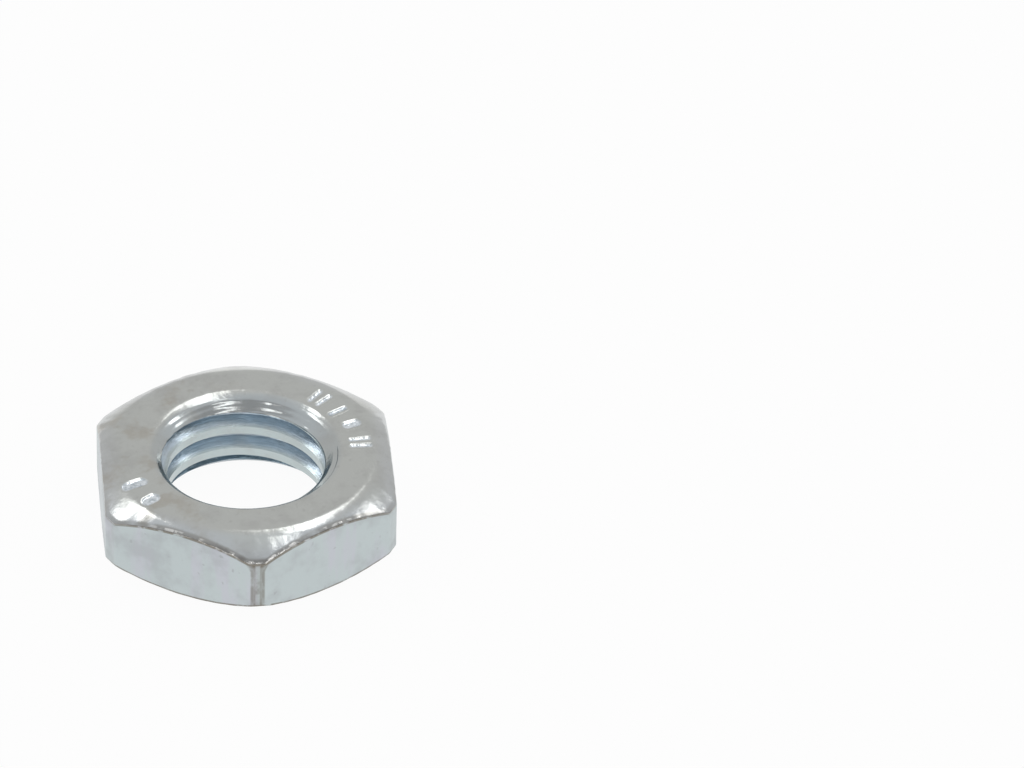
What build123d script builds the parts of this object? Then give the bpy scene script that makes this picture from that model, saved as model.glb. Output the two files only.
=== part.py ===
from build123d import *
from build123d.topology import SkipClean
import math
import os

# Thin hexagon nut with a right-hand metric thread and both of its faces chamfered
# Millimetres, +Z up the thread; the origin is on the thread's axis, in the lower bearing face

# Hexagon
across_flats = 19.0
height = 5.7
corner_cut = 0.30          # how far each corner is turned back from the sharp hexagon
chamfer_inset = 0.75       # from the middle of a flat in to the edge of the bearing face
chamfer_slope = 30.0       # fall of the turned chamfer, in degrees from the bearing face

# Thread
thread_diameter = 12.0
thread_pitch = 1.75
thread_engagement = 0.87   # cut depth of the thread, as a share of the full metric form
flank_slope = 30.0         # each flank, in degrees from a plane square to the axis
thread_phase = 0.21        # height at which the groove crosses +X, in pitches above the lower face

# Countersinks at both ends of the bore, the lower one wider
upper_mouth_margin = 0.10  # the upper mouth's radius beyond the thread's outer radius
lower_mouth_margin = 0.35  # the same for the lower mouth
mouth_slope = 45.0         # fall of either cone, in degrees from its bearing face

# Worked out from the sizes above
corner_radius = across_flats / 2 / math.cos(math.radians(30)) - corner_cut
face_radius = across_flats / 2 - chamfer_inset
chamfer_drop = (corner_radius - face_radius) * math.tan(math.radians(chamfer_slope))

root_radius = thread_diameter / 2
root_flat = thread_pitch / 8
full_depth = 5 / 8 * thread_pitch * math.cos(math.radians(30))
thread_depth = thread_engagement * full_depth
crest_radius = root_radius - thread_depth

upper_mouth_radius = root_radius + upper_mouth_margin
upper_mouth_depth = (upper_mouth_radius - crest_radius) * math.tan(math.radians(mouth_slope))
lower_mouth_radius = root_radius + lower_mouth_margin
lower_mouth_depth = (lower_mouth_radius - crest_radius) * math.tan(math.radians(mouth_slope))

# The groove starts and stops a full pitch outside the nut, so it runs out through both countersinks
groove_start = (thread_phase - 2) * thread_pitch
groove_turns = math.ceil((height + thread_pitch - groove_start) / thread_pitch)
groove_inner = crest_radius - thread_depth / 4


def groove_half_width(radius):
    """Half of the groove's width at a radius: half its root flat and what the flank adds."""
    return root_flat / 2 + (root_radius - radius) * math.tan(math.radians(flank_slope))


with SkipClean(), BuildPart() as jam_nut:
    # Hexagon bar, with flats facing +X and -X and corners on the Y axis
    with BuildSketch():
        RegularPolygon(radius=across_flats / 2, side_count=6, major_radius=False, rotation=30)
    extrude(amount=height)

    # Turned outside: the corners are cut back to a circle and each face gets its chamfer
    with BuildSketch(Plane.XZ):
        with BuildLine():
            Polyline(
                (0, 0),
                (face_radius, 0),
                (corner_radius, chamfer_drop),
                (corner_radius, height - chamfer_drop),
                (face_radius, height),
                (0, height),
                close=True,
            )
        make_face()
    revolve(axis=Axis.Z, mode=Mode.INTERSECT)

    # Bore at the crests' radius, cut in quarters so that no crest's face goes right round the axis
    for quarter in range(4):
        with BuildSketch(Plane.XY.rotated((0, 0, 90 * quarter))):
            with BuildLine():
                Line((0, 0), (crest_radius, 0))
                CenterArc((0, 0), crest_radius, 0, 90)
                Line((0, crest_radius), (0, 0))
            make_face()
        extrude(amount=height, mode=Mode.SUBTRACT)

    # Countersinks at both mouths of the bore
    for mouth_z, mouth_radius, cone_z in (
        (0, lower_mouth_radius, lower_mouth_depth),
        (height, upper_mouth_radius, height - upper_mouth_depth),
    ):
        with BuildSketch(Plane.XZ):
            with BuildLine():
                Polyline((0, mouth_z), (mouth_radius, mouth_z), (crest_radius, cone_z), (0, cone_z), close=True)
            make_face()
        revolve(axis=Axis.Z, mode=Mode.SUBTRACT)

    # Thread: a trapezoid groove carried up the helix, each turn starting where the last one stopped
    for turn in range(groove_turns):
        turn_z = groove_start + turn * thread_pitch
        with BuildLine() as lead:
            Helix(pitch=thread_pitch, height=thread_pitch, radius=crest_radius, center=(0, 0, turn_z))
        with BuildSketch(Plane.XZ) as groove:
            with BuildLine():
                Polyline(
                    (groove_inner, turn_z - groove_half_width(groove_inner)),
                    (root_radius, turn_z - groove_half_width(root_radius)),
                    (root_radius, turn_z + groove_half_width(root_radius)),
                    (groove_inner, turn_z + groove_half_width(groove_inner)),
                    close=True,
                )
            make_face()
        sweep(sections=groove.sketch, path=lead.line, is_frenet=True, mode=Mode.SUBTRACT)

jam_nut.part.label = "jam_nut"
os.makedirs("parts", exist_ok=True)
export_step(jam_nut.part, "parts/jam_nut.step")
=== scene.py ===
from collections import namedtuple

import bpy
import numpy as np
from bpy.props import FloatProperty, FloatVectorProperty, IntProperty, PointerProperty
from mathutils import Matrix, Vector


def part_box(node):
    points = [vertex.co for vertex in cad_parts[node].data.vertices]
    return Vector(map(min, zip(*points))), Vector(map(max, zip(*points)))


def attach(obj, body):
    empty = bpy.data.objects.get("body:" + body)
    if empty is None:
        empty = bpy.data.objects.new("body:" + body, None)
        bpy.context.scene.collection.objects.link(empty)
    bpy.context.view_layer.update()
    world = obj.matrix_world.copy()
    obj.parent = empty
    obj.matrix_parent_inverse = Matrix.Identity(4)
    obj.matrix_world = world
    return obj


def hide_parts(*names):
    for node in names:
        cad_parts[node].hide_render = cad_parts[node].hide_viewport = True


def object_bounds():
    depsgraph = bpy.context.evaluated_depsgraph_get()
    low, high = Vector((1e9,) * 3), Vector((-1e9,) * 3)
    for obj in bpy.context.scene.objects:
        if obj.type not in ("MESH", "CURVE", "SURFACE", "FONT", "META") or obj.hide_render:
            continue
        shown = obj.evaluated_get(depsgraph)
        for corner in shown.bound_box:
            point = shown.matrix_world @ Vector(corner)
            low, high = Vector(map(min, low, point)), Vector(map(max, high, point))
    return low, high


bl_info = {
    "name": "Jam Nut",
    "version": (1, 0, 0),
    "blender": (4, 5, 0),
    "location": "3D View > Sidebar > Jam Nut",
    "description": "Thin zinc-plated hexagon nut with a right-hand thread, on a pale studio floor",
    "category": "Object",
}

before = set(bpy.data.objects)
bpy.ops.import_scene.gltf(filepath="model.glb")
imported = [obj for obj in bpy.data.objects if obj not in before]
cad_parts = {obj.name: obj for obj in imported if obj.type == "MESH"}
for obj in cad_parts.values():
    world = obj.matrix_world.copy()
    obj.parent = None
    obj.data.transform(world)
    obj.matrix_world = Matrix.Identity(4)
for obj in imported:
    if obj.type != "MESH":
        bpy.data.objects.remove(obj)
CAD_LOW, CAD_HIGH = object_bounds()
NUT_LOW, NUT_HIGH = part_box("jam_nut")

# Materials of the nut's skin, in the order of its material slots
TURNED_FACES, ROLLED_FLATS, CUT_THREAD = range(3)

# Rows of the skin, in the order in which the section runs up out of the bore and down outside
TOP_LIP_ROWS = 38
TOP_FACE_ROWS = 18
TOP_CHAMFER_ROWS = 16
CHAMFER_EDGE_ROWS = 5
SIDE_ROWS = 5
BASE_CHAMFER_ROWS = 5
BASE_FACE_ROWS = 5
BASE_LIP_ROWS = 10

# How far the columns crowd towards the corners, from 0, evenly spread
CORNER_CROWDING = 0.55

# Stamped marks on the upper face: the two ends of each stroke as (angle in degrees, radius in mm)
STAMPED_STROKES = np.array([
    ((48.4, 6.85), (48.4, 8.05)),
    ((42.6, 6.85), (42.6, 8.05)),
    ((31.4, 6.80), (31.4, 7.95)),
    ((18.6, 7.20), (18.6, 7.80)),
    ((5.6, 6.95), (5.6, 8.15)),
    ((0.2, 6.95), (0.2, 8.15)),
    ((-157.6, 7.55), (-157.6, 8.60)),
    ((-143.8, 7.80), (-143.8, 8.35)),
])
STROKE_HALF_WIDTHS = np.array([0.15, 0.15, 0.16, 0.34, 0.15, 0.15, 0.38, 0.40])

# A stroke's wall, and its rim's middle and width, as distances from its outline; the rim's share of
# the depth and the floor's unevenness; how far outside the lip strokes are in full, and the heights,
# from the face, between which they fade down the chamfer
STROKE_WALL = (-0.00010, 0.00007)
STROKE_RIM = (0.00013, 0.00007)
RIM_SHARE = 0.15
FLOOR_ROUGHNESS = 0.12
STROKE_MARGIN = 0.00025
STROKE_END = (-0.0016, -0.0008)

# How far each corner has been rubbed, from the one at 30 degrees on round the axis
CORNER_WEAR = np.array((0.35, 0.50, 0.30, 0.12, 1.00, 0.15))

# Softening where the groove's flanks meet its root, and where the thread meets the two cones
ROOT_BLEND = 0.00010
CONE_BLEND = 0.00004

# Least distance of the thread's rows from the inner rims of the countersinks
RIM_GAP = 0.000008

# Rows of the thread, as shares of the way along a flank and across a crest
FLANK_SHARES = np.array((0.0, 0.08, 0.25, 0.45, 0.65, 0.85, 0.95, 1.0))
LAND_SHARES = np.array((0.15, 0.5, 1.0))

# How far the chamfer's outer edge wanders up and down, and the share by which its softening varies
EDGE_WANDER = 0.000018
EDGE_VARIETY = 0.45

# Waves as (wavelength, seed): the edge's wander and variety, the ripples' coming and going, and the
# plating's broad, middle and fine ones and the marks' floors; and how much the plating's three add
EDGE_WANDER_WAVES = (0.0011, 5)
EDGE_VARIETY_WAVES = (0.0007, 9)
RIPPLE_WAVES = (0.0023, 31)
SKIN_WAVES = ((0.0032, 21), (0.0011, 22), (0.0005, 23), (0.00042, 41))
BROAD_SHARE, MIDDLE_SHARE, FINE_HEIGHT = 0.7, 0.3, 0.0000015

# Ripples at the upper lip: their spacing, where in its wave the first one starts, the distances past
# the lip's start and the sines of the angle between which they come up, their least share, and what
# their waves add to it between two levels
RIPPLE_SPACING = 0.00030
RIPPLE_START = 1.26
RIPPLE_BAND = (0.00040, 0.00062)
RIPPLE_SIDE = (0.05, 0.45)
RIPPLE_LEAST, RIPPLE_MORE = 0.55, 0.45
RIPPLE_LEVELS = (-0.25, 0.65)

# Height above the upper cone's inner rim over which the relief of the lip sets in
RELIEF_START = 0.00016

# Where the upper lip is pressed down: angle in degrees, power of the falling off round the lip,
# radius and width of the falling off across it, and share of the full press
PRESSED_PLACES = ((109.0, 8, 0.00622, 0.00030, 1.0), (42.0, 12, 0.00614, 0.00024, 0.9))

# Angle between two faces, in degrees, above which the edge between them is shaded sharp
SHARP_ANGLE = 40.0

# The side towards -Y has a dark line at its edges, and on the turned faces a painted dark reflection
# beside it: where it starts and where it is in full
NEAR_SIDE = (-0.0035, -0.0070)

# Scale of the noise that breaks the dark line along the edges, and its two limits
LINE_BREAKS = (1400.0, 0.25, 0.50)

# Roughness that the dullest places have on top
DULL_ROUGHNESS = 0.12

# Softboxes behind, overhead, at the sides and in front: headings of both ends from the nut, width in
# degrees and share of the lamps' level
SOFTBOXES = (
    ("softbox_back", (0.15, 0.66, 0.735), (0.29, 0.16, 0.94), 9.5, 1.0),
    ("softbox_top", (0.195, 0.10, 0.975), (0.235, -0.12, 0.965), 5.0, 0.75),
    ("softbox_left", (-0.35, 0.41, 0.84), (-0.70, 0.30, 0.65), 10.0, 1.1),
    ("softbox_right", (0.64, 0.33, 0.69), (0.82, 0.03, 0.57), 8.5, 1.2),
    ("softbox_front_left", (-0.36, -0.62, 0.70), (-0.66, -0.50, 0.56), 9.0, 1.0),
    ("softbox_front_right", (0.13, -0.66, 0.74), (0.42, -0.42, 0.80), 8.0, 1.0),
)

# Watts of an area lamp for each square metre and each unit of its radiance
WATTS_PER_RADIANCE = 4.0

# Width and height of the picture, and width in millimetres of what the lens draws it on
PICTURE_WIDTH = 1024.0
PICTURE_HEIGHT = 768.0
SENSOR_WIDTH = 36.0

# Distance of the floor under the nut, radius of the tent, first and last of its rises and swings in
# degrees with their count, and level of the world where it lights
FLOOR_GAP = 0.00003
TENT_RADIUS = 1.1
TENT_RISES = (0.0, 142.0, 37)
TENT_SWINGS = (-88.0, 88.0, 45)
WORLD_LIGHT = 0.55

# Lip of a countersink: the radius where its rounding starts, that rounding, its steepness and its
# depth
Lip = namedtuple("Lip", "start blend steepness depth")


def number(name, description, default, **kind):
    """A plain number, or one of the kind that its limits and its unit make it."""
    return FloatProperty(name=name, description=description, default=default, **kind)


def length(name, description, default):
    """A size in metres, shown in the scene's own unit."""
    return number(name, description, default, min=0.0, precision=5, unit="LENGTH", subtype="DISTANCE")


def angle(name, description, degrees):
    """An angle, given in degrees and kept in radians."""
    return number(name, description, float(np.radians(degrees)), unit="ROTATION", subtype="ANGLE")


def fraction(name, description, default):
    """A share from 0 to 1."""
    return number(name, description, default, min=0.0, max=1.0, subtype="FACTOR")


def tint(name, description, colour):
    """A colour, as linear red, green and blue."""
    return FloatVectorProperty(
        name=name, description=description, default=colour, size=3, min=0.0, max=1.0, subtype="COLOR")


class JamNutSize(bpy.types.PropertyGroup):
    """Sizes of the nut's visible skin."""

    across_flats: length("Across flats", "Between two opposite flats", NUT_HIGH.x - NUT_LOW.x)
    height: length("Height", "Between the two bearing faces", NUT_HIGH.z - NUT_LOW.z)
    across_corners: length("Across corners", "Between two opposite corners", NUT_HIGH.y - NUT_LOW.y)
    face_radius: length("Face radius", "Radius of the bearing face's edge", 0.00875)
    face_edge: length("Face edge", "Rounding on each side of the bearing face's edge", 0.00045)
    edge_wear: length("Edge wear", "How far the chamfer's outer edge has been worn down", 0.000060)
    edge_wear_width: length("Edge wear width", "How far in from there the wear starts", 0.00032)
    chamfer_slope: angle("Chamfer slope", "Fall of the turned chamfer from the bearing face", 26.9)
    chamfer_bow: number("Chamfer bow", "Half of the chamfer's steepening per metre", 63.0, min=0.0)
    thread_diameter: length("Thread diameter", "Diameter at the thread's root in the nut", 0.012)
    thread_pitch: length("Thread pitch", "Rise of the thread in one turn", 0.00175)
    crest_radius: length("Crest radius", "Radius at the thread's crests", 0.0051759)
    flank_slope: angle("Flank slope", "Each flank, from a plane square to the axis", 30.0)
    thread_phase: number("Thread phase", "Height of the groove at +X, in pitches", 0.21)
    upper_mouth: length("Upper mouth", "Radius of the upper cone at the bearing face", 0.00610)
    upper_blend: length("Upper lip rounding", "Rounding on each side of the upper mouth", 0.00031)
    lower_mouth: length("Lower mouth", "Radius of the lower cone at the bearing face", 0.00635)
    lower_blend: length("Lower lip rounding", "Rounding on each side of the lower mouth", 0.00010)
    mouth_slope: angle("Mouth slope", "Fall of either cone from its bearing face", 45.0)
    corner_blend: length("Corner blend", "Softening where a flat meets the turned corner", 0.00006)
    chamfer_edge: length("Chamfer edge", "Softening where the chamfer meets a flat", 0.00009)
    crest_edge: length("Crest edge", "Softening of the thread's crests", 0.000002)
    stamp_depth: length("Stamp depth", "Depth of the stamped marks", 0.00007)
    unevenness: length("Unevenness", "Height of the plated skin's gentle waves", 0.000010)
    lip_ripple: length("Lip ripple", "Height of the ripples that a tool left", 0.000012)
    lip_press: length("Lip press", "How far the upper lip is pressed down", 0.000080)
    columns: IntProperty(name="Columns", description="Columns round the axis", default=616, min=120)


class JamNutFinish(bpy.types.PropertyGroup):
    """Colours and gloss of the zinc plating, with the colours of its painted highlights and painted
    shade.
    """

    face_colour: tint("Face colour", "Zinc on the turned faces", (0.573, 0.588, 0.566))
    chamfer_colour: tint("Chamfer colour", "Zinc near the faces' outer edges", (0.580, 0.595, 0.595))
    lip_colour: tint("Lip colour", "Zinc in the upper countersink", (0.510, 0.535, 0.530))
    flat_colour: tint("Flat colour", "Zinc on the six flats", (0.538, 0.598, 0.606))
    flat_patch_colour: tint("Flat patch colour", "Duller patches on the flats", (0.440, 0.465, 0.480))
    lilac_colour: tint("Lilac colour", "Faint streaks of the passivated flats", (0.570, 0.570, 0.635))
    crest_colour: tint("Crest colour", "Zinc on the thread's crests", (0.510, 0.578, 0.585))
    groove_colour: tint("Groove colour", "Zinc in the thread's grooves", (0.560, 0.650, 0.725))
    tap_colour: tint("Tap colour", "Darker streaks that the tap left", (0.360, 0.440, 0.500))
    # Painted shade: the lower mouth faces the floor in the nut's shadow, and is darkened in its
    # colour
    foot_shade_colour: tint("Foot colour", "Duller zinc at the bore's lower mouth", (0.170, 0.240, 0.285))
    patch_colour: tint("Patch colour", "Duller patches of the plating", (0.440, 0.445, 0.430))
    stain_colour: tint("Stain colour", "Brownish blotches on the bearing face", (0.440, 0.410, 0.350))
    # Residue along edges, and also painted shade: it darkens the thread's roots and a band beside the
    # chamfer's edge
    residue_and_shade_colour: tint("Residue colour", "Dark residue along edges", (0.190, 0.165, 0.130))
    # Painted highlights: the beads along the chamfer's edge are coloured near white
    bead_highlight_colour: tint("Bead colour", "Zinc beads along the chamfer's edge", (0.900, 0.880, 0.840))
    mark_colour: tint("Mark colour", "Zinc in the stamped marks", (0.540, 0.600, 0.650))
    # Painted glints: near-white specks mixed into the stamped marks
    glint_colour: tint("Glint colour", "Brighter grains in the marks", (0.860, 0.910, 0.950))
    face_gloss: fraction("Face roughness", "Roughness of the turned faces", 0.15)
    flat_gloss: fraction("Flat roughness", "Roughness of the flats", 0.34)
    thread_gloss: fraction("Thread roughness", "Roughness of the thread", 0.20)


class JamNutStudio(bpy.types.PropertyGroup):
    """Camera, floor and soft lights round the nut."""

    azimuth: angle("Azimuth", "Camera's turn from the -Y side towards +X", -4.2255)
    elevation: angle("Elevation", "Camera's height above the horizon", 37.707)
    roll: angle("Roll", "Camera's turn about its line of sight", 0.2137)
    distance: length("Distance", "Camera's distance from the middle of the nut", 0.59304)
    lens: number("Lens", "Focal length in millimetres", 318.38, min=1.0)
    place_x: number("Place across", "Middle of the nut in the picture, in its widths", 0.24016)
    place_y: number("Place down", "Middle of the nut in the picture, in its heights", 0.63144)
    floor_size: length("Floor size", "Side of the square floor", 3.0)
    floor_colour: tint("Floor colour", "Colour of the floor", (0.86, 0.86, 0.86))
    floor_glow: fraction("Floor glow", "Share of plain white in what is seen of it", 0.95)
    tent_colour: tint("Tent colour", "Brightness of the tent behind the nut", (0.680, 0.680, 0.680))
    zenith_colour: tint("Zenith colour", "Brightness of the tent overhead", (0.710, 0.735, 0.765))
    flap_colour: tint("Flap colour", "Brightness of the tent over the camera", (0.440, 0.445, 0.460))
    lamp_distance: length("Lamp distance", "Distance from the nut to each softbox", 0.80)
    lamp_level: number("Lamp level", "Radiance of the softboxes", 1.7, min=0.0)


def smooth_min(first, second, width):
    """The smaller of two fields; within width of their crossing a parabola joins them from below."""
    share = np.clip(0.5 + 0.5 * (second - first) / width, 0.0, 1.0)
    return second + (first - second) * share - width * share * (1.0 - share)


def smooth_max(first, second, width):
    """The larger of two fields, joined in the same way from above."""
    return -smooth_min(-first, -second, width)


def smooth_step(low, high, field):
    """0 below low and 1 above high, with the cubic 3t^2 - 2t^3 between."""
    t = np.clip((field - low) / (high - low), 0.0, 1.0)
    return t * t * (3.0 - 2.0 * t)


def gentle_waves(points, wavelength, seed, waves=20):
    """Unevenness from -1 to 1: sines in seeded directions, added up, all at about one wavelength."""
    dice = np.random.default_rng(seed)
    heading = dice.normal(size=(waves, 3))
    heading /= np.linalg.norm(heading, axis=1)[:, None]
    rate = 2.0 * np.pi / wavelength * dice.uniform(0.6, 1.6, waves)
    phase = dice.uniform(0.0, 2.0 * np.pi, waves)
    sines = np.sin(points @ (heading * rate[:, None]).T + phase)
    return np.clip(sines.sum(axis=1) / np.sqrt(2.0 * waves), -1, 1)


def column_angles(count):
    """Angles of the columns, from 0 round the axis: u - c / 6 sin(6 (u - 30 degrees)) for even u."""
    even = np.arange(count) * 2.0 * np.pi / count
    return even - CORNER_CROWDING / 6.0 * np.sin(6.0 * (even - np.pi / 6.0))


def hexagon_radius(size, turn):
    """Radius of the side: half the flats over the cosine from a flat's middle, cut to a circle."""
    from_middle = np.mod(turn + np.pi / 6.0, np.pi / 3.0) - np.pi / 6.0
    flat = size.across_flats / 2.0 / np.cos(from_middle)
    return smooth_min(flat, size.across_corners / 2.0, size.corner_blend)


def groove_offset(size, turn, z):
    """Distance along the axis from the groove's middle, whose helix rises one pitch in a turn."""
    lead = size.thread_pitch * (turn / (2.0 * np.pi) + size.thread_phase)
    half = size.thread_pitch / 2.0
    return np.abs(np.mod(z - lead + half, size.thread_pitch) - half)


def groove_half_widths(size):
    """
    Half of the groove's width along the axis: pitch / 16 at its root, and at the crests the depth of
    the thread times the tangent of the flank's slope on top.
    """
    root = size.thread_pitch / 16.0
    return root, root + (size.thread_diameter / 2.0 - size.crest_radius) * np.tan(size.flank_slope)


def fall(past, blend, steepness):
    """
    Drop of a turned face, a distance past where its rounding starts: steepness * past^2 / (4 blend)
    up to twice the blend, and from there the straight slope steepness * (past - blend).
    """
    past = np.maximum(past, 0.0)
    curved = steepness * past ** 2 / (4.0 * blend)
    return np.where(past < 2.0 * blend, curved, steepness * (past - blend))


def reach(drop, blend, steepness):
    """The other way round: how far past the start a face has dropped so much."""
    drop = np.maximum(drop, 0.0)
    curved = np.sqrt(4.0 * blend * drop / steepness)
    return np.where(drop < steepness * blend, curved, blend + drop / steepness)


def countersink(size, mouth, blend):
    """The lip of a countersink, whose rounding starts a blend outside the mouth of its cone."""
    steepness = np.tan(size.mouth_slope)
    return Lip(mouth + blend, blend, steepness, (mouth - size.crest_radius) * steepness)


def bore_radius(size, turn, z):
    """Radius of the bore: the groove's trapezoid, never inside the crests, or a wider countersink."""
    root_radius = size.thread_diameter / 2.0
    past_root = groove_offset(size, turn, z) - groove_half_widths(size)[0]
    groove = smooth_min(root_radius - past_root / np.tan(size.flank_slope), root_radius, ROOT_BLEND)
    bore = smooth_max(groove, size.crest_radius, size.crest_edge)
    for mouth, blend, deep in (
        (size.upper_mouth, size.upper_blend, size.height - z),
        (size.lower_mouth, size.lower_blend, z),
    ):
        lip = countersink(size, mouth, blend)
        bore = smooth_max(bore, lip.start - reach(deep, lip.blend, lip.steepness), CONE_BLEND)
    return bore


def straight_rows(start, end, count):
    """Rows between two points, without these: start + (end - start) t for evenly spread t."""
    t = np.linspace(0.0, 1.0, count + 2)[1:-1, None]
    return start[0] + (end[0] - start[0]) * t, start[1] + (end[1] - start[1]) * t


def rounded_rows(corner, before, after, span, count):
    """Rows round a corner: the quadratic Bezier curve from a span before it to a span past it."""
    t = np.linspace(0.0, 1.0, count)[:, None]
    return tuple(
        (1.0 - t) ** 2 * (corner[axis] - before[axis] * span)
        + 2.0 * t * (1.0 - t) * corner[axis]
        + t ** 2 * (corner[axis] + after[axis] * span)
        for axis in range(2)
    )


def ends_of(rows):
    """First and last point of a run of rows, each as radius and height."""
    return (rows[0][0], rows[1][0]), (rows[0][-1], rows[1][-1])


def lip_rows(size, turn, lip, count):
    """Depths of a countersink's rows, evenly spread over its radius from its start to the crests."""
    past = np.linspace(0.0, lip.start - size.crest_radius, count)
    return np.minimum(fall(past, lip.blend, lip.steepness), lip.depth)[:, None] * np.ones_like(turn)


def chamfer_drop(size, side, radius):
    """
    Drop of a chamfer at a radius: the fall of its straight slope, bow * (past - 2 edge)^2 that makes
    it steeper outwards, and edge_wear * t^2, for t from 0 where the wear starts to 1 at the side.
    """
    past = radius - size.face_radius + size.face_edge
    bowed = size.chamfer_bow * np.maximum(past - 2.0 * size.face_edge, 0.0) ** 2
    worn = size.edge_wear * np.clip(1.0 - (side - radius) / size.edge_wear_width, 0.0, 1.0) ** 2
    return fall(past, size.face_edge, np.tan(size.chamfer_slope)) + bowed + worn


def chamfer_rows(size, side, edge, wander, count):
    """Rows of a chamfer, from where its rounding starts to the first row of its outer edge."""
    share = np.linspace(0.0, 1.0, count + 1)[:-1, None]
    start = size.face_radius - size.face_edge
    radius = start + (edge - start) * share
    return radius, chamfer_drop(size, side, radius) + wander * share ** 2


def outside_rows(size, turn):
    """
    Section of the nut from the thread's upper rim over the countersink and the face, down the side
    and into the lower countersink. Radii and heights by row and column, and each row's material.
    """
    flip = np.array(((1.0,), (-1.0,)))
    down = np.array((0.0, -1.0))
    full = np.ones_like(turn)
    top = size.height
    side = hexagon_radius(size, turn)
    ring = np.c_[np.cos(turn), np.sin(turn), 0.0 * turn] * size.across_flats / 2.0
    wander = EDGE_WANDER * gentle_waves(ring, *EDGE_WANDER_WAVES)
    worn = size.chamfer_edge * (1.0 + EDGE_VARIETY * gentle_waves(ring, *EDGE_VARIETY_WAVES))
    face_end = size.face_radius - size.face_edge
    drop = chamfer_drop(size, side, side) + wander
    steep = np.tan(size.chamfer_slope) + 2.0 * size.edge_wear / size.edge_wear_width
    steep = steep + 2.0 * size.chamfer_bow * np.maximum(side - size.face_radius - size.face_edge, 0.0)
    slope = np.stack((full, steep)) / np.hypot(1.0, steep)

    upper_lip = countersink(size, size.upper_mouth, size.upper_blend)
    lower_lip = countersink(size, size.lower_mouth, size.lower_blend)
    top_lip_z = top - lip_rows(size, turn, upper_lip, TOP_LIP_ROWS)[::-1]
    top_rim, base_rim = (face_end * full, top * full), (face_end * full, 0.0 * full)
    top_face = straight_rows((upper_lip.start * full, top * full), top_rim, TOP_FACE_ROWS)
    upper_edge = rounded_rows((side, top - drop), slope * flip, down, worn, CHAMFER_EDGE_ROWS)
    lower_edge = rounded_rows((side, drop), down, -slope, worn, CHAMFER_EDGE_ROWS)
    top_radius, top_drop = chamfer_rows(size, side, upper_edge[0][0], wander, TOP_CHAMFER_ROWS)
    base_radius, base_drop = chamfer_rows(size, side, lower_edge[0][-1], wander, BASE_CHAMFER_ROWS)
    flats = straight_rows(ends_of(upper_edge)[1], ends_of(lower_edge)[0], SIDE_ROWS)
    base_face = straight_rows(base_rim, (lower_lip.start * full, 0.0 * full), BASE_FACE_ROWS)
    base_lip_z = lip_rows(size, turn, lower_lip, BASE_LIP_ROWS)

    half = CHAMFER_EDGE_ROWS // 2
    runs = (
        ((bore_radius(size, turn, top_lip_z), top_lip_z), TURNED_FACES),
        (top_face, TURNED_FACES),
        ((top_radius, top - top_drop), TURNED_FACES),
        (tuple(part[:half] for part in upper_edge), TURNED_FACES),
        (tuple(part[half:] for part in upper_edge), ROLLED_FLATS),
        (flats, ROLLED_FLATS),
        (tuple(part[:half] for part in lower_edge), ROLLED_FLATS),
        (tuple(part[half:] for part in lower_edge), TURNED_FACES),
        ((base_radius[::-1], base_drop[::-1]), TURNED_FACES),
        (base_face, TURNED_FACES),
        ((bore_radius(size, turn, base_lip_z), base_lip_z), CUT_THREAD),
    )
    radius, z = (np.vstack([rows[part] for rows, finish in runs]) for part in range(2))
    finish = np.concatenate([np.full(len(rows[0]), finish) for rows, finish in runs])
    return radius, z, finish


def thread_lifts(size):
    """Heights of the thread's rows at +X: a set that follows the groove, repeated every pitch."""
    root, crest = groove_half_widths(size)
    end = size.thread_pitch / 2.0
    flank, land = root + (crest - root) * FLANK_SHARES, crest + (end - crest) * LAND_SHARES
    half = np.concatenate(((0.0, 0.6 * root), flank, land))
    pitch_rows = np.concatenate((-half[-2:0:-1], half))
    turns = np.arange(-3, int(size.height / size.thread_pitch) + 3)
    lifts = size.thread_pitch * (turns[:, None] + size.thread_phase) + pitch_rows
    return lifts.ravel(), len(pitch_rows)


def triangles_between(corners):
    """Two triangles for each cell of a table of vertex numbers, without those shrunk to a line."""
    a, b = corners[:-1, :-1], corners[:-1, 1:]
    d, c = corners[1:, :-1], corners[1:, 1:]
    faces = np.stack((np.stack((a, d, c), -1), np.stack((a, c, b), -1)), 2)
    row = np.broadcast_to(np.arange(len(a))[:, None, None], faces.shape[:3]).reshape(-1)
    faces = faces.reshape(-1, 3)
    real = (faces[:, 0] != faces[:, 1]) & (faces[:, 1] != faces[:, 2]) & (faces[:, 2] != faces[:, 0])
    return faces[real], row[real]


def stamp_field(points):
    """Stamped strokes: 1 inside a stroke and 0 just outside it, and a bump along its rim."""
    turn = np.radians(STAMPED_STROKES[:, :, 0])
    radius = STAMPED_STROKES[:, :, 1] * 0.001
    ends = np.stack((radius * np.cos(turn), radius * np.sin(turn)), -1)
    start, along = ends[:, 0], ends[:, 1] - ends[:, 0]
    offset = points[:, None, :2] - start
    share = np.clip((offset * along).sum(-1) / (along ** 2).sum(-1), 0.0, 1.0)
    gap = np.linalg.norm(offset - share[..., None] * along, axis=-1) - STROKE_HALF_WIDTHS * 0.001
    nearest = gap.min(axis=1)
    sunk = 1.0 - smooth_step(*STROKE_WALL, nearest)
    raised = np.exp(-((nearest - STROKE_RIM[0]) / STROKE_RIM[1]) ** 2)
    return sunk, raised


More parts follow.
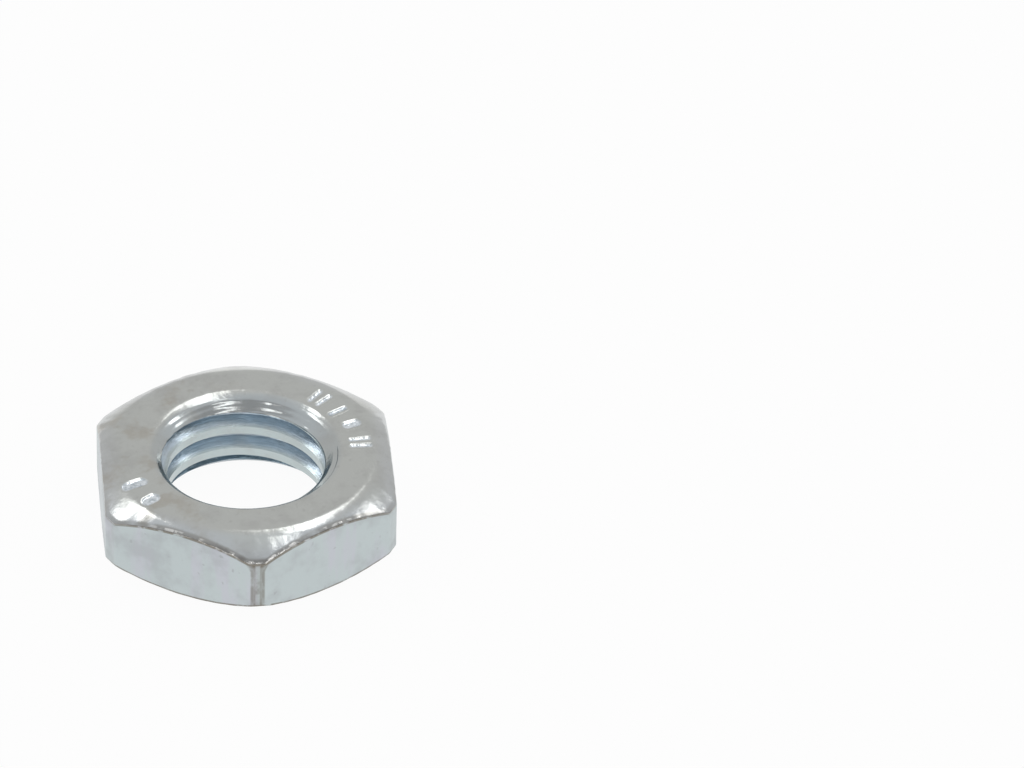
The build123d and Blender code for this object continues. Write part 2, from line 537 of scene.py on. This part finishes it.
def nut_skin(size):
    """
    The nut's closed skin. Outside and countersinks: the section carried round the axis. Thread: rows
    that climb with the helix, z = lift + pitch * turn / 2 pi, kept between the two countersinks'
    inner rims.
    """
    around = size.columns
    turn = column_angles(around)
    radius, z, finish = outside_rows(size, turn)
    rows = len(radius)
    table = np.arange(rows * around).reshape(rows, around)
    table = np.c_[table, table[:, 0]]
    outer_faces, outer_row = triangles_between(table)

    low, high = z[-1, 0], z[0, 0]
    lifts, per_pitch = thread_lifts(size)
    first = np.searchsorted(lifts, low - size.thread_pitch) - 1
    last = np.searchsorted(lifts, high) + 1
    lifts = lifts[first:last]
    climb = lifts[:, None] + size.thread_pitch * turn / (2.0 * np.pi)
    above = climb > low + RIM_GAP
    inside = above & (climb < high - RIM_GAP)
    numbers = rows * around + np.cumsum(inside.ravel()).reshape(inside.shape) - 1
    bore_table = np.where(inside, numbers, np.where(above, table[0, :-1], table[-1, :-1]))
    seam = np.full(len(lifts), table[0, 0])
    seam[:len(lifts) - per_pitch] = bore_table[per_pitch:, 0]
    bore_faces = triangles_between(np.c_[bore_table, seam])[0]

    bore_turn = np.broadcast_to(turn, climb.shape)[inside]
    bore_z = climb[inside]
    all_turn = np.concatenate((np.broadcast_to(turn, z.shape).ravel(), bore_turn))
    all_z = np.concatenate((z.ravel(), bore_z))
    all_radius = np.concatenate((radius.ravel(), bore_radius(size, bore_turn, bore_z)))
    points = np.c_[all_radius * np.cos(all_turn), all_radius * np.sin(all_turn), all_z]

    faces = np.vstack((outer_faces, bore_faces))
    finishes = np.concatenate((finish[outer_row], np.full(len(bore_faces), CUT_THREAD)))
    zone = np.concatenate((np.repeat(finish, around), np.full(len(bore_z), CUT_THREAD)))
    fields = surface_fields(size, all_turn, all_radius, all_z, zone)
    points, fields["stamped"] = worn_points(size, points, all_turn, all_radius, zone)
    return points, faces, finishes, fields


def surface_fields(size, turn, radius, z, zone):
    """
    What the plating's wear, painted shade and painted highlights follow: the distance past the
    chamfer's edge, from a corner and from the groove, how deep a place lies under the upper face,
    and how far its own corner has been rubbed.
    """
    side = hexagon_radius(size, turn)
    drop = chamfer_drop(size, side, side)
    to_upper = np.hypot(radius - side, z - (size.height - drop))
    to_lower = np.hypot(radius - side, z - drop)
    gap = np.minimum(to_upper, to_lower)
    corner = np.mod(np.floor(turn / (np.pi / 3.0)), 6).astype(int)
    return {
        "edge_gap": np.where(zone == ROLLED_FLATS, gap, -gap),
        "corner_gap": np.abs(np.mod(turn, np.pi / 3.0) - np.pi / 6.0) * radius,
        "groove_gap": groove_offset(size, turn, z),
        "deep": size.height - z,
        "corner_wear": CORNER_WEAR[corner],
    }


def lip_relief(size, points, turn, radius, lip):
    """
    How far the upper lip lies below its plain cone. Ripples: ripple * (1 + sin(2 pi past / spacing)),
    which run round and come and go. Pressed places: press * cos(half the turn from the place)^2n * a
    Gaussian of the radius.
    """
    past = lip.start - radius
    ring = points / np.maximum(radius, 1e-6)[:, None] * size.upper_mouth
    waves = gentle_waves(ring * (1.0, 1.0, 0.0), *RIPPLE_WAVES)
    comes = RIPPLE_LEAST + RIPPLE_MORE * smooth_step(*RIPPLE_LEVELS, waves)
    wave = 1.0 + np.sin(2.0 * np.pi * past / RIPPLE_SPACING - RIPPLE_START)
    ripple = size.lip_ripple * comes * wave
    ripple = ripple * smooth_step(*RIPPLE_BAND, past) * smooth_step(*RIPPLE_SIDE, np.sin(turn))
    pressed = sum(
        share * ((0.5 + 0.5 * np.cos(turn - np.radians(middle))) ** power
                 * np.exp(-((radius - far) / width) ** 2))
        for middle, power, far, width, share in PRESSED_PLACES
    )
    return ripple, size.lip_press * pressed


def worn_points(size, points, turn, radius, zone):
    """
    The skin after plating and handling, always sunk and never proud: gentle waves, the relief of the
    upper lip, and the marks, depth * (sunk * rough - share * rim). Also the mask of the marks.
    """
    broad, middle, fine, rough = (gentle_waves(points, *waves) for waves in SKIN_WAVES)
    dip = size.unevenness * (1.0 + (BROAD_SHARE * broad + MIDDLE_SHARE * middle))
    fine = FINE_HEIGHT * (1.0 + fine)
    upper = (zone == TURNED_FACES) & (points[:, 2] > size.height / 2.0)
    lip = countersink(size, size.upper_mouth, size.upper_blend)
    ripple, pressed = lip_relief(size, points, turn, radius, lip)
    sunk, raised = stamp_field(points)
    outside = smooth_step(lip.start, lip.start + STROKE_MARGIN, radius)
    outside = outside * smooth_step(*STROKE_END, points[:, 2] - size.height)
    mark = sunk * (1.0 + FLOOR_ROUGHNESS * rough) - RIM_SHARE * raised
    stamps = size.stamp_depth * mark * outside
    lip_end = size.height - lip.depth
    on_lip = smooth_step(lip_end, lip_end + RELIEF_START, points[:, 2])
    relief = dip + fine + ripple + pressed
    moved = points.copy()
    moved[:, 2] -= np.where(upper, np.maximum(relief * on_lip + stamps, 0.0), 0.0)
    moved[:, :2] *= (1.0 - np.where(zone == ROLLED_FLATS, dip / radius, 0.0))[:, None]
    return moved, np.where(upper, sunk * outside, 0.0)


def feed(source, socket):
    """Links a term to a socket, or writes a plain value into it; a colour gets its alpha."""
    if isinstance(source, Term):
        socket.id_data.links.new(source.socket, socket)
    else:
        socket.default_value = (*source, 1.0) if socket.type == "RGBA" else source


def add(tree, kind, output=0, given=(), **settings):
    """A new node with its settings and its inputs, by number or label. Gives one of its outputs."""
    node = tree.nodes.new("ShaderNode" + kind)
    for name, value in settings.items():
        setattr(node, name, value)
    for label, source in dict(given).items():
        feed(source, node.inputs[label])
    return Term(node.outputs[output])


class Term:
    """The output of a node. Each step on it adds a node, fed with other terms or plain values."""

    def __init__(self, socket):
        self.socket = socket

    def step(self, kind, output, given, **settings):
        """A new node in the same tree."""
        return add(self.socket.id_data, kind, output, given, **settings)

    def reckon(self, operation, *others):
        """One step of arithmetic."""
        return self.step("Math", 0, enumerate((self, *others)), operation=operation)

    def __add__(self, other):
        """Sum."""
        return self.reckon("ADD", other)

    def __sub__(self, other):
        """Difference."""
        return self.reckon("SUBTRACT", other)

    def __mul__(self, other):
        """Product."""
        return self.reckon("MULTIPLY", other)

    def most(self, other):
        """The larger of two."""
        return self.reckon("MAXIMUM", other)

    def ramp(self, low, high, start=0.0, end=1.0):
        """Smooth step, from start at low to end at high."""
        given = {"Value": self, "From Min": low, "From Max": high, "To Min": start, "To Max": end}
        return self.step("MapRange", "Result", given, interpolation_type="SMOOTHSTEP")

    def mix(self, first, second):
        """Mix of two colours, with this as the second one's share."""
        return self.step("Mix", 2, {0: self, 6: first, 7: second}, data_type="RGBA")

    def noise(self, scale, detail=2.0, roughness=0.5):
        """Value noise, read at this vector."""
        given = {"Vector": self, "Scale": scale, "Detail": detail, "Roughness": roughness}
        return self.step("TexNoise", "Fac", given)

    def stretch(self, *factors):
        """This vector multiplied axis by axis."""
        return self.step("VectorMath", 0, {0: self, 1: factors}, operation="MULTIPLY")

    def part(self, name):
        """X, Y or Z of this vector."""
        return self.step("SeparateXYZ", name, {0: self})

    def join(self, *others):
        """A vector with this as its X."""
        return self.step("CombineXYZ", 0, enumerate((self, *others)))

    def from_axis(self):
        """Distance of this place from the thread's axis."""
        return self.step("VectorMath", "Value", {0: self.stretch(1.0, 1.0, 0.0)}, operation="LENGTH")


def new_group(name, inputs, outputs):
    """An empty shader group. Each input is given by its plain value or by the kind of its socket."""
    group = bpy.data.node_groups.new(name, "ShaderNodeTree")
    new_socket = group.interface.new_socket
    for label, value in inputs.items():
        kind = value if isinstance(value, str) else "Float"
        socket = new_socket(name=label, in_out="INPUT", socket_type="NodeSocket" + kind)
        if kind == "Float":
            socket.default_value = value
    for label, kind in outputs.items():
        new_socket(name=label, in_out="OUTPUT", socket_type="NodeSocket" + kind)
    given = {socket.name: Term(socket) for socket in group.nodes.new("NodeGroupInput").outputs}
    return group, given, group.nodes.new("NodeGroupOutput").inputs


def bloom_group():
    """Zinc bloom: cloudy duller patches and small dark specks over the plain plating."""
    tree, given, result = new_group(
        "Zinc bloom",
        {"Vector": "Vector", "Plain": "Color", "Patch": "Color",
         "Patch Scale": 500.0, "Patch Amount": 0.5,
         "Speck Scale": 2500.0, "Speck Amount": 0.3, "Speck Low": 0.62, "Speck High": 0.74},
        {"Color": "Color", "Dullness": "Float"},
    )
    place, duller = given["Vector"], given["Patch"]
    patch = place.noise(given["Patch Scale"], 4.0, 0.6).ramp(0.44, 0.68) * given["Patch Amount"]
    grain = place.noise(given["Speck Scale"])
    speck = grain.ramp(given["Speck Low"], given["Speck High"]) * given["Speck Amount"]
    feed(speck.mix(patch.mix(given["Plain"], duller), duller), result["Color"])
    feed(patch.most(speck), result["Dullness"])
    return tree


def edge_band_group():
    """A line at a distance from an edge, broken up where a noise is under two limits: it masks
    residue, painted shade and painted highlights along edges.
    """
    tree, given, result = new_group(
        "Edge band",
        {"Vector": "Vector", "Gap": 0.0, "Middle": 0.0, "Half Width": 0.0001, "Break Scale": 1500.0,
         "Break Low": 0.36, "Break High": 0.62, "Amount": 1.0},
        {"Mask": "Float"},
    )
    away = (given["Gap"] - given["Middle"]).reckon("ABSOLUTE")
    line = away.reckon("DIVIDE", given["Half Width"]).ramp(0.3, 1.0, 1.0, 0.0)
    grain = given["Vector"].noise(given["Break Scale"], 3.0, 0.6)
    feed(line * grain.ramp(given["Break Low"], given["Break High"]) * given["Amount"], result["Mask"])
    return tree


def lines_group():
    """Tool lines: coarser and finer noise, read at a vector that draws it out along the lines."""
    tree, given, result = new_group(
        "Tool lines", {"Vector": "Vector", "Scale": 1.0}, {"Height": "Float"})
    coarse = given["Vector"].noise(given["Scale"], 2.0, 0.6)
    fine = given["Vector"].noise(given["Scale"] * 3.7, 2.0, 0.6)
    feed(coarse + fine * 0.4, result["Height"])
    return tree


class Zinc:
    """A zinc material in the making: a metal with plain values, and the groups that all share."""

    def __init__(self, name, colour, roughness, groups):
        self.material = bpy.data.materials.new(name)
        self.material.use_nodes = True
        self.tree = self.material.node_tree
        self.surface = self.tree.nodes["Principled BSDF"].inputs
        for label, value in (("Base Color", colour), ("Metallic", 1.0), ("Roughness", roughness)):
            feed(value, self.surface[label])
        self.roughness = roughness
        # The second group draws bands along edges: residue, painted shade and painted highlights
        self.bloom, self.residue, self.lines = groups
        self.place = add(self.tree, "TexCoord", "Object")

    def field(self, name):
        """One of the skin's own fields."""
        return add(self.tree, "Attribute", "Fac", attribute_name=name)

    def bloomed(self, plain, patch, patches, specks, limits=(0.62, 0.74)):
        """A colour with its bloom, and the dullness; patches and specks are (scale, amount)."""
        given = enumerate((self.place, plain, patch, *patches, *specks, *limits))
        colour = add(self.tree, "Group", "Color", given, node_tree=self.bloom)
        return colour, Term(colour.socket.node.outputs["Dullness"])

    def band(self, gap, middle, half_width, breaks, amount):
        """A band along an edge, used for residue, painted shade and painted highlights; breaks are
        the scale and limits of its broken noise.
        """
        given = enumerate((self.place, gap, middle, half_width, *breaks, amount))
        return add(self.tree, "Group", "Mask", given, node_tree=self.residue)

    def tool_lines(self, vector, scale):
        """Height of the tool's lines."""
        return add(self.tree, "Group", "Height", enumerate((vector, scale)), node_tree=self.lines)

    def dress(self, colour, dullness, height, depth):
        """Puts colour, gloss and fine relief onto the surface. Gives the finished material."""
        feed(colour, self.surface["Base Color"])
        feed(dullness * DULL_ROUGHNESS + self.roughness, self.surface["Roughness"])
        given = {"Strength": 1.0, "Distance": depth, "Height": height}
        feed(add(self.tree, "Bump", "Normal", given), self.surface["Normal"])
        return self.material


def turned_faces(finish, groups):
    """Bearing faces, lips and chamfers: grey, mottled, stained on one side, beaded at the edges, with
    painted highlights on the beads and a painted dark reflection by the edge towards -Y.
    """
    zinc = Zinc("zinc_turned_faces", finish.face_colour, finish.face_gloss, groups)
    place, x, y = zinc.place, zinc.place.part("X"), zinc.place.part("Y")
    gap, stamped = zinc.field("edge_gap"), zinc.field("stamped")
    plain = gap.ramp(-0.0017, -0.0004).mix(finish.face_colour, finish.chamfer_colour)
    plain = place.from_axis().ramp(0.0064, 0.0060).mix(plain, finish.lip_colour)
    colour, dullness = zinc.bloomed(plain, finish.patch_colour, (420.0, 0.45), (2600.0, 0.35))

    stain = place.noise(330.0, 4.0, 0.62).ramp(0.48, 0.66) * x.ramp(0.002, -0.006) * 0.55
    colour = stain.mix(colour, finish.stain_colour)
    near = y.ramp(*NEAR_SIDE)
    line = zinc.band(gap, -0.00002, 0.00012, LINE_BREAKS, near * 0.85)
    # Painted dark reflection: a broad band inside the chamfer's edge on the side towards -Y, darkened
    # in the residue colour
    dark_reflection_band = zinc.band(gap, -0.00016, 0.00036, (500.0, 0.20, 0.50), near * 0.50)
    colour = line.most(dark_reflection_band).mix(colour, finish.residue_and_shade_colour)
    # Beads along the chamfer's edge towards -Y: a bump and rougher zinc, with their brightness
    # painted in as highlights
    beads_and_highlights = zinc.band(gap, -0.00019, 0.00014, (1500.0, 0.47, 0.60), 0.80)
    beads_and_highlights = y.ramp(-0.0062, -0.0080) * place.noise(210.0).ramp(0.38, 0.52) * beads_and_highlights
    colour = beads_and_highlights.mix(colour, finish.bead_highlight_colour)
    # Painted glints in the stamped marks, spread by noise
    mark_glints = place.noise(4200.0, 3.0, 0.6).ramp(0.30, 0.62)
    colour = stamped.mix(colour, mark_glints.mix(finish.mark_colour, finish.glint_colour))

    lines = zinc.tool_lines((place.from_axis() * 9.0).join(), 900.0)
    pits = place.noise(3200.0, 3.0, 0.6) * (stamped * 4.0 + 1.0)
    height = beads_and_highlights * 1.5 + (lines * 0.25 + pits)
    return zinc.dress(colour, dullness.most(beads_and_highlights), height, 0.000006)


def corner_strip(zinc):
    """Rubbed strip down a corner: duller, with dark outlines, a pale streak and a flare on top."""
    corner, deep = zinc.field("corner_gap"), zinc.field("deep")
    flare = deep.ramp(0.0018, 0.0011, 0.0, 0.00035)
    foot = deep.ramp(0.0030, 0.0045, 0.0, 0.20)
    cap = deep.ramp(0.00150, 0.00125, 0.0, 0.30)
    body = zinc.band(corner, 0.0, flare + 0.00054, (800.0, 0.05, 0.45), foot + cap + 0.60)
    outline = zinc.band(corner, flare * 0.7 + 0.00035, 0.00017, (900.0, 0.30, 0.64), 0.62)
    streak = zinc.band(corner, 0.00005, 0.00016, (1100.0, 0.34, 0.62), 0.60)
    return (body * (streak * -1.0 + 1.0)).most(outline) * zinc.field("corner_wear")


def rolled_flats(finish, groups):
    """The six flats: cool, pale, faintly streaked, dark along the chamfer, rubbed at the corners."""
    zinc = Zinc("zinc_rolled_flats", finish.flat_colour, finish.flat_gloss, groups)
    place = zinc.place
    turned = {0: place, "Rotation": (0.0, 0.7, 0.4), "Scale": (1.0, 1.0, 0.15)}
    slant = place.step("Mapping", 0, turned)
    streaks = slant.noise(620.0, 3.0, 0.6).ramp(0.50, 0.66) * 0.65
    plain = streaks.mix(finish.flat_colour, finish.lilac_colour)
    colour, dullness = zinc.bloomed(
        plain, finish.flat_patch_colour, (480.0, 0.55), (1500.0, 0.85), (0.67, 0.75))

    near = place.part("Y").ramp(*NEAR_SIDE)
    line = zinc.band(zinc.field("edge_gap"), 0.00003, 0.00011, LINE_BREAKS, near * 0.80)
    strip = corner_strip(zinc)
    colour = line.most(strip).mix(colour, finish.residue_and_shade_colour)
    lines = zinc.tool_lines(place.stretch(1.0, 1.0, 0.06), 5200.0)
    height = lines * 0.5 + place.noise(2400.0, 3.0, 0.6)
    return zinc.dress(colour, dullness.most(strip), height, 0.000005)


def cut_thread(size, finish, groups):
    """The bore: blue grooves and paler crests, with the tap's lines along the thread, painted shade
    in the grooves' roots and painted shade at the lower mouth.
    """
    zinc = Zinc("zinc_cut_thread", finish.groove_colour, finish.thread_gloss, groups)
    place, gap = zinc.place, zinc.field("groove_gap")
    crest = groove_half_widths(size)[1]
    flank = crest - 0.00020
    plain = gap.ramp(flank, crest).mix(finish.groove_colour, finish.crest_colour)
    colour, dullness = zinc.bloomed(plain, finish.patch_colour, (600.0, 0.25), (2600.0, 0.25))

    # Painted shade: the groove's root is darkened in the residue colour
    root = zinc.band(gap, 0.0, 0.00020, (700.0, 0.36, 0.62), 0.20)
    colour = root.mix(colour, finish.residue_and_shade_colour)
    # Painted shade at the bore's lower mouth, where it faces the shadowed floor
    foot = zinc.field("deep").ramp(size.height - 0.0011, size.height - 0.0007)
    colour = foot.mix(colour, finish.foot_shade_colour)
    along = (gap * 12.0).join(place.from_axis() * 12.0, place.part("X") * 1.3)
    worn = along.noise(700.0, 3.0, 0.6).ramp(0.42, 0.62, 0.0, 0.45) * gap.ramp(crest, flank)
    colour = worn.mix(colour, finish.tap_colour)
    height = zinc.tool_lines(along, 900.0) * 1.5 + place.noise(2600.0, 3.0, 0.6)
    return zinc.dress(colour, dullness, height, 0.000009)


def mesh_object(name, points, faces):
    """A mesh object at the origin, with its place in its mesh."""
    mesh = bpy.data.meshes.new(name)
    mesh.from_pydata(points.tolist(), [], faces.tolist())
    mesh.update()
    made = bpy.data.objects.new(name, mesh)
    bpy.context.scene.collection.objects.link(made)
    return made


class JAMNUT_OT_nut(bpy.types.Operator):
    """Makes the nut's plated skin in place of the plain solid"""

    bl_idname = "jam_nut.nut"
    bl_label = "Nut"

    def execute(self, context):
        """Builds the skin, its three zinc materials and the fields for their wear, painted shade and
        painted highlights.
        """
        if "jam_nut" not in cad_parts:
            raise RuntimeError("the frame has no jam_nut to dress")
        size = context.scene.jam_nut_size
        points, faces, finishes, fields = nut_skin(size)
        skin = mesh_object("nut_skin", points, faces)
        mesh = skin.data
        mesh.polygons.foreach_set("use_smooth", np.ones(len(faces), bool))
        mesh.polygons.foreach_set("material_index", finishes.astype(np.int32))
        for name, values in fields.items():
            field = mesh.attributes.new(name, "FLOAT", "POINT")
            field.data.foreach_set("value", values.astype(np.float32))
        mesh.set_sharp_from_angle(angle=float(np.radians(SHARP_ANGLE)))
        finish = context.scene.jam_nut_finish
        groups = bloom_group(), edge_band_group(), lines_group()
        mesh.materials.append(turned_faces(finish, groups))
        mesh.materials.append(rolled_flats(finish, groups))
        mesh.materials.append(cut_thread(size, finish, groups))
        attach(skin, "root")
        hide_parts("jam_nut")
        return {"FINISHED"}


def seen_directly(tree):
    """1 for camera, glossy and transmission rays, 0 for the rays that carry the light."""
    camera, glossy, through = (
        add(tree, "LightPath", f"Is {kind} Ray") for kind in ("Camera", "Glossy", "Transmission"))
    return camera.most(glossy).most(through)


def camera_turn(studio):
    """The camera's axes, turned to put the nut in its place, and the way back to the camera."""
    azimuth, elevation = studio.azimuth, studio.elevation
    out = np.cos(elevation)
    back = np.array((np.sin(azimuth) * out, -np.cos(azimuth) * out, np.sin(elevation)))
    right = np.array((np.cos(azimuth), np.sin(azimuth), 0.0))
    plain = np.array((right, np.cross(-back, right), -back))
    c, s = np.cos(studio.roll), np.sin(studio.roll)
    plain = np.array(((c, -s, 0.0), (s, c, 0.0), (0.0, 0.0, 1.0))) @ plain
    focus = studio.lens / SENSOR_WIDTH * PICTURE_WIDTH
    sight = np.array((
        (studio.place_x * PICTURE_WIDTH - PICTURE_WIDTH / 2.0) / focus,
        (studio.place_y * PICTURE_HEIGHT - PICTURE_HEIGHT / 2.0) / focus,
        1.0,
    ))
    sight /= np.linalg.norm(sight)
    across = np.array((1.0, 0.0, 0.0)) - sight[0] * sight
    across /= np.linalg.norm(across)
    turn = np.array((across, np.cross(sight, across), sight)).T
    axes = np.diag((1.0, -1.0, -1.0)) @ turn @ plain
    return Matrix(axes.T.tolist()), Vector(back)


def softbox(name, target, start, end, distance, width, radiance):
    """An area lamp facing the target, long between two headings and as wide as a turn in degrees."""
    start, end = Vector(start).normalized(), Vector(end).normalized()
    heading, along = (start + end).normalized(), (end - start).normalized()
    lamp = bpy.data.lights.new(name, "AREA")
    lamp.shape = "RECTANGLE"
    lamp.size = (end - start).length * distance
    lamp.size_y = np.radians(width) * distance
    lamp.energy = WATTS_PER_RADIANCE * lamp.size * lamp.size_y * radiance
    holder = bpy.data.objects.new(name, lamp)
    turn = Matrix((along, heading.cross(along), heading)).transposed()
    holder.matrix_world = Matrix.Translation(target + heading * distance) @ turn.to_4x4()
    bpy.context.scene.collection.objects.link(holder)


def studio_object(name, points, faces):
    """An object of the stage with a material of its own, and that material's tree."""
    made = mesh_object(name, points, faces)
    material = bpy.data.materials.new("studio_" + name)
    material.use_nodes = True
    made.data.materials.append(material)
    return made, material.node_tree


class JAMNUT_OT_stage(bpy.types.Operator):
    """Makes the floor, the grey tent, the soft lights and the camera"""

    bl_idname = "jam_nut.stage"
    bl_label = "Stage"

    def execute(self, context):
        """Sets up everything round the nut."""
        studio = context.scene.jam_nut_studio
        target = (CAD_LOW + CAD_HIGH) / 2.0
        self.floor(studio)
        self.tent(studio, target)
        for name, start, end, width, share in SOFTBOXES:
            softbox(name, target, start, end, studio.lamp_distance, width, share * studio.lamp_level)
        self.world(context)
        camera = bpy.data.objects.new("camera", bpy.data.cameras.new("camera"))
        context.scene.collection.objects.link(camera)
        camera.data.lens = studio.lens
        camera.data.sensor_width = SENSOR_WIDTH
        camera.data.clip_start = 0.01
        camera.data.clip_end = 20.0
        turn, back = camera_turn(studio)
        camera.matrix_world = Matrix.Translation(target + back * studio.distance) @ turn.to_4x4()
        context.scene.camera = camera
        context.scene.view_settings.view_transform = "Standard"
        return {"FINISHED"}

    def floor(self, studio):
        """A flat square just under the nut; what is seen of it is mostly plain white."""
        half = studio.floor_size / 2.0
        corner = np.array(((-half, -half), (half, -half), (half, half), (-half, half)))
        points = np.c_[corner, np.full(4, CAD_LOW.z - FLOOR_GAP)]
        floor, tree = studio_object("floor", points, np.array(((0, 1, 2, 3),)))
        shader = tree.nodes["Principled BSDF"]
        feed(studio.floor_colour, shader.inputs["Base Color"])
        feed(0.9, shader.inputs["Roughness"])
        glow = seen_directly(tree) * studio.floor_glow
        lit = Term(shader.outputs[0])
        mix = add(tree, "MixShader", 0, {0: glow, 1: lit, 2: add(tree, "Emission")})
        feed(mix, tree.nodes["Material Output"].inputs["Surface"])

    def tent(self, studio, target):
        """
        A grey tent over the nut, with a dark flap in front and open under it: at rise a from the
        horizon behind over the zenith, and at swing b to a side, its direction is (sin b, cos b cos
        a, cos b sin a).
        """
        rises, swings = (np.radians(np.linspace(*span)) for span in (TENT_RISES, TENT_SWINGS))
        rise, swing = np.meshgrid(rises, swings, indexing="ij")
        out = np.cos(swing)
        heading = np.stack((np.sin(swing), out * np.cos(rise), out * np.sin(rise)), -1)
        points = heading.reshape(-1, 3) * TENT_RADIUS + np.array(target)
        faces = triangles_between(np.arange(rise.size).reshape(rise.shape))[0]
        tent, tree = studio_object("grey_tent", points, faces)
        y = add(tree, "TexCoord", "Object").part("Y")
        colour = y.ramp(0.15, 0.75).mix(studio.zenith_colour, studio.tent_colour)
        colour = y.ramp(-0.12, -0.50).mix(colour, studio.flap_colour)
        grey = add(tree, "Emission", 0, {"Color": colour})
        feed(grey, tree.nodes["Material Output"].inputs["Surface"])
        tent.visible_camera = tent.visible_diffuse = tent.visible_shadow = False

    def world(self, context):
        """White where it is seen, plain grey where it lights."""
        world = bpy.data.worlds.new("studio_world")
        world.use_nodes = True
        context.scene.world = world
        tree = world.node_tree
        light = seen_directly(tree) * (1.0 - WORLD_LIGHT) + WORLD_LIGHT
        background = tree.nodes["Background"].inputs
        feed(light.join(light, light), background["Color"])
        feed(1.0, background["Strength"])


class JAMNUT_PT_sidebar(bpy.types.Panel):
    """Sizes, finish and studio of the jam nut"""

    bl_idname = "JAMNUT_PT_sidebar"
    bl_label = "Jam Nut"
    bl_space_type = "VIEW_3D"
    bl_region_type = "UI"
    bl_category = "Jam Nut"

    def draw(self, context):
        """Lists the makers and their values."""
        for title, group, maker in (
            ("Size", context.scene.jam_nut_size, "jam_nut.nut"),
            ("Finish", context.scene.jam_nut_finish, None),
            ("Studio", context.scene.jam_nut_studio, "jam_nut.stage"),
        ):
            box = self.layout.box()
            box.label(text=title)
            for name in group.__annotations__:
                box.prop(group, name)
            if maker:
                box.operator(maker)


SETTINGS = {
    "jam_nut_size": JamNutSize,
    "jam_nut_finish": JamNutFinish,
    "jam_nut_studio": JamNutStudio,
}
CLASSES = (*SETTINGS.values(), JAMNUT_OT_nut, JAMNUT_OT_stage, JAMNUT_PT_sidebar)


def register():
    """Adds the classes and the scene's settings."""
    for cls in CLASSES:
        bpy.utils.register_class(cls)
    for name, group in SETTINGS.items():
        setattr(bpy.types.Scene, name, PointerProperty(type=group))


def unregister():
    """Takes them away again."""
    for name in SETTINGS:
        delattr(bpy.types.Scene, name)
    for cls in reversed(CLASSES):
        bpy.utils.unregister_class(cls)


def main():
    """Makes the nut and its stage."""
    register()
    bpy.ops.jam_nut.nut()
    bpy.ops.jam_nut.stage()


if __name__ == "__main__":
    main()
